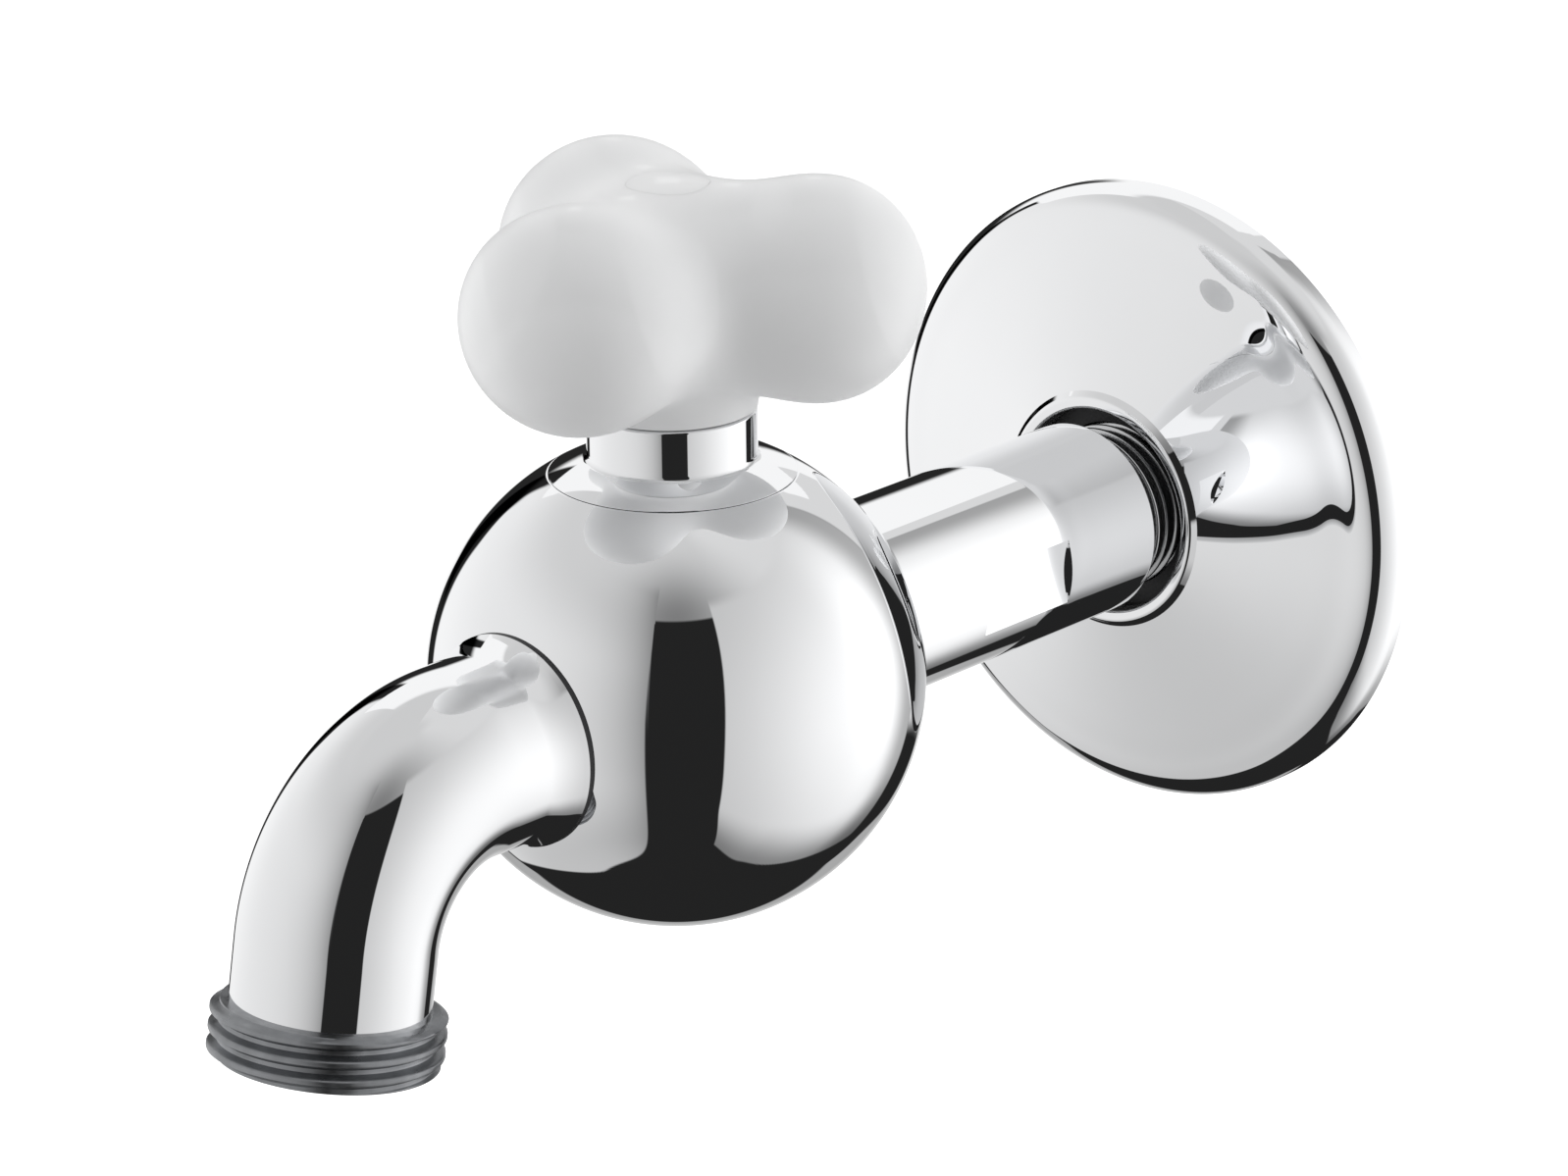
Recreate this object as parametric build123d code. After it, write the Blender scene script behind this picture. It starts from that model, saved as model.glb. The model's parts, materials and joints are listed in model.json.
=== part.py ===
from build123d import *
import os
from math import radians, sqrt, tan

# A wall-mounted garden tap with a ball body, a three-lobed handle and a swivel spout.
# Millimetres and degrees. The wall face is y = 0, the tap reaches towards -y, and +z is up.
# Pieces are drawn about the centre of the ball and moved to the wall as they are written.

# Whole tap
wall_to_ball = 89.6
ball_radius = 29.5
valve_travel = 3.75
running_gap = 0.05
joint_gap = 0.1
edge_break = 0.4

# Shank and inlet thread, 1/2 inch pipe
shank_radius = 12.4
shank_end_to_wall = 15.0
inlet_thread_radius = 10.67
inlet_thread_pitch = 1.814
inlet_thread_depth = 1.2
inlet_thread_crest = 0.3
inlet_thread_past_wall = 14.0
inlet_crest_relief = 0.2
inlet_bore_radius = 6.5
bore_step_past_ball = 2.5
thread_flank_angle = 30.0
flats_across = 23.4
flats_length = 15.8
flats_to_shank_end = 16.5

# Water way and seat inside the ball
seat_floor = 2.0
seat_hole_radius = 6.5
seat_hole_depth = 5.0
seat_bore_radius = 4.8
seat_flange_radius = 8.2
seat_flange_thickness = 1.2
seat_lip_height = 0.7
seat_lip_width = 1.0
chamber_radius = 10.0
upper_way_radius = 6.0
lower_way_radius = 5.5
lower_way_level = -8.5
lower_way_front = 7.0
partition_wall = 3.5
drop_radius = 5.0
drop_overlap = 1.8
outlet_window_width = 11.0
outlet_window_height = 5.0

# Bonnet, gasket and gland
seam_radius = 14.7
bonnet_thread_radius = 11.9
bonnet_thread_length = 12.2
bonnet_skirt_wall = 2.9
bonnet_nut_length = 9.0
gasket_thickness = 0.8
gasket_width = 1.8
neck_radius = 10.0
neck_height = 5.9
neck_fillet = 0.9
gland_radius = 7.2
gland_depth = 5.8
gland_web = 2.4
packing_washer_thickness = 1.0
packing_height = 2.2
packing_cone_height = 1.0
packing_cone_land = 1.2
gland_slot_width = 2.4
gland_slot_depth = 1.0

# Spindle and valve
spindle_thread_radius = 6.35
spindle_stop_gap = 0.8
stem_radius = 4.0
spline_radius = 3.4
spline_length = 9.6
spline_shoulder = 1.2
guide_radius = 2.5
guide_end_gap = 0.8
screw_hole_depth = 8.0
jumper_radius = 7.2
jumper_thickness = 2.2
jumper_stem_length = 8.0
stud_radius = 1.5
stud_past_nut = 0.4
valve_washer_thickness = 3.0
valve_washer_radius = 6.9
washer_nut_across = 5.5
washer_nut_height = 2.2

# Handle
handle_turn = 36.0
handle_gap = 0.2
handle_base_to_middle = 14.6
lobe_count = 3
lobe_offset = 16.0
lobe_radius = 13.55
hub_radius = 13.3
lobe_blend = 2.0
handle_base_radius = 10.0
insert_radius = 5.6
insert_web = 2.0
screw_radius = 1.95
screw_head_radius = 3.6
screw_head_height = 2.4
screw_length = 9.5
screw_slot_width = 0.9
screw_slot_depth = 1.1
head_room_radius = 4.4
cap_radius = 5.0
cap_thickness = 3.6

# Spout
tube_radius = 11.5
tube_bore_radius = 9.3
tube_straight = 4.2
bend_radius = 19.35
nose_tilt = 10.5
tube_end_length = 7.3
spigot_length = 4.0
collar_radius = 12.7
collar_length = 5.5
tail_radius = 9.6
tail_bore_radius = 7.4
socket_floor = 12.5
tail_end_gap = 0.5
ring_section_radius = 0.6
ring_offsets = (2.8, 6.0)
ring_groove_width = 1.5
snap_ring_offset = 9.8
snap_ring_thickness = 1.1
snap_ring_reach = 0.7
snap_ring_depth = 0.8
snap_ring_split = 4.0

# Hose thread on the nose, 3/4 inch
nose_thread_radius = 13.45
nose_thread_pitch = 2.209
nose_thread_depth = 1.1
nose_thread_crest = 0.7
nose_thread_count = 3
nose_thread_start = 0.1
nose_bore_radius = 8.4
nose_spigot_bore_radius = 7.9

# Wall flange and its pad
flange_radius = 40.8
flange_depth = 11.6
flange_rim_height = 5.8
flange_rim_setback = 2.6
flange_edge_height = 1.3
flange_sheet = 1.0
lip_radius = 14.8
lip_roundness = 0.8
lip_recess_radius = 13.4
lip_recess_depth = 3.6
flange_clearance = 0.35
hub_wall = 1.9
sweep_start_slope = 0.45
sweep_end_slope = 0.09
pad_width = 9.0
pad_gap = 0.3

# Levels that follow from the sizes above, upwards from the ball's centre
seam_level = sqrt(ball_radius**2 - seam_radius**2)
skirt_bottom = seam_level - bonnet_thread_length
ledge_level = skirt_bottom - gasket_thickness
neck_foot = sqrt(ball_radius**2 - neck_radius**2)
neck_top = neck_foot + neck_height
gland_floor = neck_top - gland_depth
thread_roof = gland_floor - gland_web
seat_top = seat_floor + seat_flange_thickness + seat_lip_height
valve_bottom = seat_top + joint_gap
jumper_bottom = valve_bottom + valve_washer_thickness
jumper_top = jumper_bottom + jumper_thickness
spindle_bottom = jumper_top + joint_gap
spindle_thread_top = thread_roof - valve_travel - spindle_stop_gap
handle_bottom = neck_top + handle_gap
handle_level = handle_bottom + handle_base_to_middle
handle_ceiling = handle_level + hub_radius
spline_start = handle_bottom + spline_shoulder
spline_top = spline_start + spline_length
screw_seat = spline_top + running_gap + insert_web

# Distances that follow from the sizes above, along y from the ball's centre
shank_end = wall_to_ball - shank_end_to_wall
inlet_end = wall_to_ball + inlet_thread_past_wall
collar_face = sqrt(ball_radius**2 - collar_radius**2)
tube_root = collar_face + joint_gap + collar_length
tube_bend_start = tube_root + tube_straight
tail_end = socket_floor + tail_end_gap
snap_front = collar_face - snap_ring_offset
snap_back = snap_front - snap_ring_thickness
lip_level = wall_to_ball - flange_depth


def post(radius, low, high, y=0):
    """An upright cylinder between two heights."""
    return Pos(0, y, (low + high) / 2) * Cylinder(radius, high - low)


def rod(radius, start, end, z=0):
    """A cylinder along y between two distances."""
    return Pos(0, (start + end) / 2, z) * Rot(90, 0, 0) * Cylinder(radius, end - start)


def turned(points, axis=Axis.Z):
    """A solid of revolution: each point is a radius and a distance along the axis."""
    if axis == Axis.Z:
        corners = [(radius, 0, along) for radius, along in points]
    else:
        corners = [(radius, along, 0) for radius, along in points]
    return revolve(make_face(Polyline(*corners, close=True)), axis)


def ridges(start, count, pitch, crest_radius, depth, crest):
    """Outline points of a row of thread ridges: root, flank, crest and flank for each."""
    flank = depth * tan(radians(thread_flank_angle))
    root_radius = crest_radius - depth
    points = []
    for turn in range(count):
        low = start + turn * pitch
        points += [(root_radius, low), (crest_radius, low + flank)]
        points += [(crest_radius, low + flank + crest), (root_radius, low + 2 * flank + crest)]
    return points


def inlet_thread_points():
    """The thread from the shank to its end, with lower crests where the flange slides."""
    root_radius = inlet_thread_radius - inlet_thread_depth
    points = []
    hub_back = wall_to_ball - flange_edge_height
    for start, end, relief in (
        (shank_end + edge_break, hub_back, inlet_crest_relief),
        (hub_back + edge_break, inlet_end, 0),
    ):
        count = int((end - start) / inlet_thread_pitch)
        crest_radius = inlet_thread_radius - relief
        depth = crest_radius - root_radius
        points += ridges(
            start, count, inlet_thread_pitch, crest_radius, depth, inlet_thread_crest
        )
    return points


def valve_body():
    """Ball and shank in one casting, with the seat's partition and the outlet socket."""
    thread_root = inlet_thread_radius - inlet_thread_depth
    shank = turned(
        [(0, 0), (shank_radius, 0), (shank_radius, shank_end - edge_break)]
        + [(shank_radius - edge_break, shank_end), (thread_root, shank_end)]
        + inlet_thread_points()
        + [(thread_root, inlet_end), (0, inlet_end)],
        Axis.Y,
    )
    body = Sphere(ball_radius) + shank
    waste = 2 * ball_radius
    body -= Pos(0, 0, seam_level + waste / 2) * Box(waste, waste, waste)
    body -= Pos(0, -collar_face - waste / 2, 0) * Box(waste, waste, waste)
    flat_middle = shank_end - flats_to_shank_end - flats_length / 2
    for side in (-1, 1):
        offset = side * (flats_across / 2 + shank_radius)
        body -= Pos(offset, flat_middle, 0) * Box(2 * shank_radius, flats_length, waste)

    # Inlet side: along the shank, down behind the partition and forward under the seat
    inlet_stop = chamber_radius + partition_wall
    drop_centre = inlet_stop + drop_radius - drop_overlap
    body -= rod(inlet_bore_radius, ball_radius + bore_step_past_ball, inlet_end)
    body -= rod(upper_way_radius, inlet_stop, inlet_end)
    body -= post(drop_radius, lower_way_level, 0, y=drop_centre)
    body -= rod(lower_way_radius, -lower_way_front, drop_centre, lower_way_level)
    body -= post(lower_way_radius, lower_way_level, seat_floor)
    body -= post(seat_hole_radius, seat_floor - seat_hole_depth, seat_floor)

    # Outlet side: the chamber above the seat opens forward into the spout's socket
    body -= post(chamber_radius, seat_floor, ledge_level)
    body -= post(bonnet_thread_radius + joint_gap, ledge_level, seam_level)
    body -= rod(tail_radius + running_gap, -collar_face, -socket_floor)
    window_length = socket_floor - chamber_radius / 2
    window_level = seat_floor + edge_break + outlet_window_height / 2
    body -= Pos(0, -socket_floor + window_length / 2, window_level) * Box(
        outlet_window_width, window_length, outlet_window_height
    )
    return body - rod(
        tail_radius + snap_ring_reach + joint_gap, -snap_front - joint_gap, -snap_back + joint_gap
    )


def seat_ring():
    """The renewable seat: a brass ring screwed down over the hole in the partition."""
    bottom = seat_floor - seat_hole_depth
    plug_radius = seat_hole_radius - running_gap
    flange_top = seat_floor + seat_flange_thickness
    lip_inner = seat_bore_radius + edge_break
    lip_outer = lip_inner + seat_lip_width
    return turned(
        [(seat_bore_radius, bottom), (plug_radius, bottom), (plug_radius, seat_floor)]
        + [(seat_flange_radius, seat_floor), (seat_flange_radius, flange_top)]
        + [(lip_outer, flange_top), (lip_outer, seat_top), (lip_inner, seat_top)]
        + [(seat_bore_radius, flange_top)]
    )


def bonnet():
    """The domed cap that closes the ball, with its neck, screwed skirt and gland box."""
    waste = 2 * ball_radius
    dome = Sphere(ball_radius) - Pos(0, 0, seam_level - waste / 2) * Box(waste, waste, waste)
    dome += post(neck_radius, seam_level, neck_top)
    circles = dome.edges().filter_by(GeomType.CIRCLE)
    dome = fillet([e for e in circles if abs(e.center().Z - neck_foot) < running_gap], neck_fillet)
    dome = fillet(dome.edges().group_by(Axis.Z)[-1], edge_break)
    skirt = post(bonnet_thread_radius, skirt_bottom, seam_level)
    nut_bottom = thread_roof - bonnet_nut_length
    skirt -= post(bonnet_thread_radius - bonnet_skirt_wall, skirt_bottom, nut_bottom)
    whole = dome + skirt
    whole -= post(spindle_thread_radius + running_gap, nut_bottom, thread_roof)
    whole -= post(stem_radius + running_gap, thread_roof, gland_floor)
    return whole - post(gland_radius, gland_floor, neck_top)


def bonnet_gasket():
    """Flat fibre ring between the bonnet's skirt and the ledge in the body."""
    ring = post(bonnet_thread_radius, ledge_level, skirt_bottom)
    return ring - post(bonnet_thread_radius - gasket_width, ledge_level, skirt_bottom)


def packing_washer():
    """Brass washer at the bottom of the gland box."""
    top = gland_floor + packing_washer_thickness
    washer = post(gland_radius - running_gap, gland_floor, top)
    return washer - post(stem_radius + joint_gap, gland_floor, top)


def gland_packing():
    """Rubber packing with a coned top, squeezed round the stem."""
    low = gland_floor + packing_washer_thickness
    high = low + packing_height
    inner = stem_radius + running_gap
    outer = gland_radius - running_gap
    return turned(
        [(inner, low), (outer, low), (outer, high - packing_cone_height - joint_gap)]
        + [(inner + packing_cone_land, high), (inner, high)]
    )


def gland_nut():
    """Slotted brass nut that presses on the packing, hidden under the handle."""
    low = gland_floor + packing_washer_thickness + packing_height
    high = neck_top - joint_gap
    inner = stem_radius + joint_gap
    outer = gland_radius - running_gap
    nut = turned(
        [(inner, low), (inner + packing_cone_land, low), (outer, low - packing_cone_height)]
        + [(outer, high), (inner, high)]
    )
    slot = Box(2 * gland_radius, gland_slot_width, gland_slot_depth)
    return nut - Pos(0, 0, high - gland_slot_depth / 2) * slot


def jumper_valve():
    """Brass valve disc: a guide stem above, and a stud below for the washer and nut."""
    disc = post(jumper_radius, jumper_bottom, jumper_top)
    guide = post(guide_radius - joint_gap, jumper_top, jumper_top + jumper_stem_length)
    stud = post(stud_radius, valve_bottom - washer_nut_height - stud_past_nut, jumper_bottom)
    return disc + guide + stud


def valve_washer():
    """Rubber disc that closes on the seat."""
    disc = post(valve_washer_radius, valve_bottom, jumper_bottom)
    disc = fillet(disc.edges().filter_by(GeomType.CIRCLE), edge_break)
    return disc - post(stud_radius, valve_bottom, jumper_bottom)


def washer_nut():
    """Hexagon nut that holds the rubber disc on its stud."""
    hexagon = RegularPolygon(washer_nut_across / 2, 6, major_radius=False)
    low = valve_bottom - washer_nut_height
    return Pos(0, 0, low) * extrude(hexagon - Circle(stud_radius), washer_nut_height)


def spindle():
    """Screwed spindle with a guide hole below and a stem that carries the handle."""
    screw = turned(
        [(0, spindle_bottom), (spindle_thread_radius - edge_break, spindle_bottom)]
        + [(spindle_thread_radius, spindle_bottom + edge_break)]
        + [(spindle_thread_radius, spindle_thread_top - edge_break)]
        + [(spindle_thread_radius - edge_break, spindle_thread_top)]
        + [(stem_radius, spindle_thread_top), (stem_radius, spline_start)]
        + [(spline_radius, spline_start), (spline_radius, spline_top), (0, spline_top)]
    )
    guide_top = jumper_top + jumper_stem_length + guide_end_gap
    screw -= post(guide_radius, spindle_bottom, guide_top)
    return screw - post(screw_radius + running_gap, spline_top - screw_hole_depth, spline_top)


def handle_insert():
    """Brass bush moulded into the handle, bored for the spindle and the screw."""
    bush = post(insert_radius, spline_start, screw_seat)
    bush -= post(spline_radius + running_gap, spline_start, spline_top + running_gap)
    return bush - post(screw_radius + joint_gap, spline_top, screw_seat)


def lobe_neck():
    """Ring of blend between the hub and one lobe: an arc that touches both spheres."""
    to_hub = hub_radius + lobe_blend
    to_lobe = lobe_radius + lobe_blend
    across = (lobe_offset**2 + to_hub**2 - to_lobe**2) / (2 * lobe_offset)
    centre = Vector(across, sqrt(to_hub**2 - across**2))
    hub_touch = centre * (hub_radius / to_hub)
    lobe_middle = Vector(lobe_offset, 0)
    lobe_touch = lobe_middle + (centre - lobe_middle) * (lobe_radius / to_lobe)
    inwards = ((hub_touch - centre) + (lobe_touch - centre)).normalized()
    outline = Polyline(lobe_touch, (lobe_touch.X, 0), (hub_touch.X, 0), hub_touch)
    outline += ThreePointArc(hub_touch, centre + inwards * lobe_blend, lobe_touch)
    return revolve(make_face(outline), Axis.X)


def handle():
    """Frosted resin handle: round lobes blended into a hub over a short base."""
    grip = Sphere(hub_radius)
    for lobe in range(lobe_count):
        turn = Rot(0, 0, handle_turn + 360 * lobe / lobe_count)
        grip += turn * Pos(lobe_offset, 0, 0) * Sphere(lobe_radius)
        grip += turn * lobe_neck()
    grip = Pos(0, 0, handle_level) * grip + post(handle_base_radius, handle_bottom, handle_level)
    grip -= post(insert_radius, handle_bottom, screw_seat)
    grip -= post(head_room_radius, screw_seat, handle_ceiling)
    return grip - post(cap_radius + running_gap, handle_ceiling - cap_thickness, handle_ceiling)


def handle_screw():
    """Slotted pan-head screw from the top of the handle into the spindle."""
    head_top = screw_seat + screw_head_height
    head = post(screw_head_radius, screw_seat, head_top)
    head = fillet(head.edges().group_by(Axis.Z)[-1], edge_break)
    slot = Box(2 * screw_head_radius, screw_slot_width, screw_slot_depth)
    head -= Pos(0, 0, head_top - screw_slot_depth / 2) * slot
    return head + post(screw_radius, screw_seat - screw_length, screw_seat)


def screw_cap():
    """Small plug over the screw, flush with the round top of the hub."""
    plug = post(cap_radius, handle_ceiling - cap_thickness, handle_ceiling)
    return plug & (Pos(0, 0, handle_level) * Sphere(hub_radius))


def spout_path():
    """The spout's centre line: out of the ball, round the bend and down to the nose."""
    root = Line((tube_root, 0), (tube_bend_start, 0))
    bend = JernArc(root @ 1, root % 1, bend_radius, nose_tilt - 90)
    nose = Line(bend @ 1, bend @ 1 + (bend % 1) * tube_end_length)
    outwards = Plane(origin=(0, 0, 0), x_dir=(0, -1, 0), z_dir=(-1, 0, 0))
    return outwards * (root + bend + nose)


def spout_tube():
    """Bent tube that carries the nose."""
    path = spout_path()
    start = Plane(origin=path @ 0, z_dir=path % 0)
    return sweep(start * Circle(tube_radius), path) - sweep(start * Circle(tube_bore_radius), path)


def groove(start, end, depth):
    """Outline points of a square groove turned in the tail."""
    floor = tail_radius - depth
    return [(tail_radius, start), (floor, start), (floor, end), (tail_radius, end)]


def spout_tail():
    """Turned tail that swivels in the body's socket, fitted into the tube by a plain spigot."""
    spigot_radius = tube_bore_radius - running_gap
    spigot_end = -tube_root - spigot_length
    profile = [(tail_bore_radius, spigot_end), (spigot_radius, spigot_end)]
    profile += [(spigot_radius, -tube_root), (tail_radius, -tube_root)]
    for offset in ring_offsets:
        middle = -collar_face + offset
        half = ring_groove_width / 2
        profile += groove(middle - half, middle + half, 2 * ring_section_radius)
    profile += groove(-snap_front - joint_gap, -snap_back + joint_gap, snap_ring_depth)
    profile += [(tail_radius, -tail_end), (tail_bore_radius, -tail_end)]
    return turned(profile, Axis.Y)


def spout_collar():
    """Flared ring at the spout's root, which covers the mouth of the socket."""
    back = -collar_face - joint_gap
    outline = TangentArc((tube_radius, -tube_root), (collar_radius, back), tangent=(0, 1))
    outline += Polyline(
        (collar_radius, back), (tail_radius, back), (tail_radius, -tube_root), (tube_radius, -tube_root)
    )
    return revolve(make_face(outline), Axis.Y)


def spout_seal(offset):
    """One rubber ring in its groove on the tail."""
    ring = Torus(tail_radius - ring_section_radius, ring_section_radius)
    return Pos(0, -collar_face + offset, 0) * Rot(90, 0, 0) * ring


def snap_ring():
    """Split spring ring that keeps the tail in the socket."""
    outer = tail_radius + snap_ring_reach
    ring = rod(outer, -snap_front, -snap_back)
    ring -= rod(tail_radius - snap_ring_depth, -snap_front, -snap_back)
    split = Box(snap_ring_split, 2 * snap_front, outer)
    return ring - Pos(0, 0, -outer / 2) * split


def outlet_nose():
    """Threaded end for a hose coupling, fitted into the tube by a plain spigot."""
    spigot_radius = tube_bore_radius - running_gap
    root_radius = nose_thread_radius - nose_thread_depth
    thread = ridges(
        nose_thread_start,
        nose_thread_count,
        nose_thread_pitch,
        nose_thread_radius,
        nose_thread_depth,
        nose_thread_crest,
    )
    profile = [(nose_spigot_bore_radius, 0), (nose_spigot_bore_radius, -spigot_length)]
    profile += [(spigot_radius, -spigot_length), (spigot_radius, 0), (root_radius, 0)] + thread
    path = spout_path()
    tube_end = Plane(origin=path @ 1, x_dir=(1, 0, 0), z_dir=path % 1)
    profile += [(nose_bore_radius, thread[-1][1]), (nose_bore_radius, 0)]
    return tube_end * turned(profile)


def flange_face(inset):
    """The flange's front from the lip to its widest line, moved inwards by the inset."""
    lip_side = (lip_radius + lip_roundness + inset, lip_level + lip_roundness + inset)
    rim_front = wall_to_ball - flange_rim_height + inset
    rim = (flange_radius - flange_rim_setback - inset / 2, rim_front)
    widest = (flange_radius - inset, wall_to_ball - flange_edge_height)
    at_lip, at_rim = (1, sweep_start_slope), (1, sweep_end_slope)
    sweep_line = Spline(lip_side, rim, tangents=(at_lip, at_rim))
    return sweep_line + Spline(rim, widest, tangents=(at_rim, (0, 1)))


def wall_flange():
    """Trumpet-shaped cover plate with a rolled lip, a rounded rim and a hub on the thread."""
    slide_radius = inlet_thread_radius - inlet_crest_relief + flange_clearance
    hub_back = wall_to_ball - flange_edge_height
    web_front = lip_level + lip_recess_depth
    web_back = web_front + flange_sheet
    front = flange_face(0)
    back = flange_face(flange_sheet)
    lip_corner = (lip_recess_radius + edge_break, lip_level)
    roll = TangentArc((lip_radius, lip_level), front @ 0, tangent=(1, 0))
    inside = Polyline(
        front @ 1,
        (flange_radius, wall_to_ball),
        (flange_radius - flange_sheet, wall_to_ball),
        back @ 1,
    )
    hub = Polyline(
        back @ 0,
        ((back @ 0).X, web_back),
        (slide_radius + hub_wall, web_back),
        (slide_radius + hub_wall, hub_back),
        (slide_radius, hub_back),
        (slide_radius, web_front),
        (lip_recess_radius, web_front),
        (lip_recess_radius, lip_level + edge_break),
        lip_corner,
        (lip_radius, lip_level),
    )
    return revolve(make_face(roll + front + inside + back + hub), Axis.Y)


def flange_pad():
    """Foam ring behind the flange's rim that seals it to the wall."""
    outer = flange_radius - flange_rim_setback - flange_sheet - pad_gap
    front = wall_to_ball - flange_rim_height + flange_sheet + pad_gap
    return rod(outer, front, wall_to_ball) - rod(outer - pad_width, front, wall_to_ball)


pieces = {
    "valve_body": valve_body,
    "seat_ring": seat_ring,
    "bonnet": bonnet,
    "bonnet_gasket": bonnet_gasket,
    "packing_washer": packing_washer,
    "gland_packing": gland_packing,
    "gland_nut": gland_nut,
    "wall_flange": wall_flange,
    "flange_pad": flange_pad,
    "jumper_valve": jumper_valve,
    "valve_washer": valve_washer,
    "washer_nut": washer_nut,
    "spindle": spindle,
    "handle": handle,
    "handle_insert": handle_insert,
    "handle_screw": handle_screw,
    "screw_cap": screw_cap,
    "spout_tube": spout_tube,
    "spout_tail": spout_tail,
    "spout_collar": spout_collar,
    "spout_seal_front": lambda: spout_seal(ring_offsets[0]),
    "spout_seal_back": lambda: spout_seal(ring_offsets[1]),
    "snap_ring": snap_ring,
    "outlet_nose": outlet_nose,
}

os.makedirs("parts", exist_ok=True)
for name, make in pieces.items():
    export_step(Pos(0, -wall_to_ball, 0) * make(), f"parts/{name}.step")
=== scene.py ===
import json
from math import cos, radians, sin, sqrt

import bmesh
import bpy
import numpy as np
from bpy.props import FloatProperty, FloatVectorProperty, IntProperty, PointerProperty
from mathutils import Matrix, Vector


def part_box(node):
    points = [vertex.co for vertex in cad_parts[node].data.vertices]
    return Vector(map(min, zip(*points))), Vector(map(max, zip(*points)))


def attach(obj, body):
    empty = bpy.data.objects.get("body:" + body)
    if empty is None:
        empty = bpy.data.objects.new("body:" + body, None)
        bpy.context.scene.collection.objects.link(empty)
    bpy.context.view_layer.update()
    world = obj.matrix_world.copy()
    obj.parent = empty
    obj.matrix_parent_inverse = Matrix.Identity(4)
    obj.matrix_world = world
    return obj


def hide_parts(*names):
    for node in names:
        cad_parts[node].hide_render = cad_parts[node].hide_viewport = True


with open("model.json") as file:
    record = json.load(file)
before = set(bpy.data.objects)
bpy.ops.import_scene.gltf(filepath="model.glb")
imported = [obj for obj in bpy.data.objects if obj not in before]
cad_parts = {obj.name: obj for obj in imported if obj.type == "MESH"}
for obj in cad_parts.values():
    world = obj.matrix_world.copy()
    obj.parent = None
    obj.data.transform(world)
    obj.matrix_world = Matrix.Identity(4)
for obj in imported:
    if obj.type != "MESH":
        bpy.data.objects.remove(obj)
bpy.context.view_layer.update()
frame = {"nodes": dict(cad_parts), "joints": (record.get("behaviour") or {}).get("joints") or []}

bl_info = {
    "name": "Garden Tap",
    "version": (1, 0, 0),
    "blender": (4, 5, 0),
    "location": "3D View > Sidebar > Garden Tap",
    "description": "Dresses the packed garden tap with turned, swept and cast surfaces and their finishes",
    "category": "Add Mesh",
}

MM = 0.001
UP = np.array([0, 0, 1.0])
WELD = 0.6e-6           # points closer than this, in metres, become one
SEAM_EDGE = 0.13 * MM   # roundness of the two edges at the seam between ball and bonnet
BALL_Y = next(j["pos_m"][1] for j in frame["joints"] if j["name"] == "handle_turn")
BALL_CENTRE = np.array([0, BALL_Y, 0])
BODY_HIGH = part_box("valve_body")[1]
FLANGE_LOW, FLANGE_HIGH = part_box("wall_flange")


def length(name, text, millimetres):
    return FloatProperty(name=name, description=text, default=millimetres * MM, unit="LENGTH", precision=5)


def turn(name, text, degrees):
    return FloatProperty(name=name, description=text, default=radians(degrees), unit="ROTATION")


def plain(name, text, value):
    return FloatProperty(name=name, description=text, default=value)


def tint(name, text, colour):
    return FloatVectorProperty(name=name, description=text, default=colour, subtype="COLOR", size=3,
                               min=0.0, max=1.0)


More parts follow.
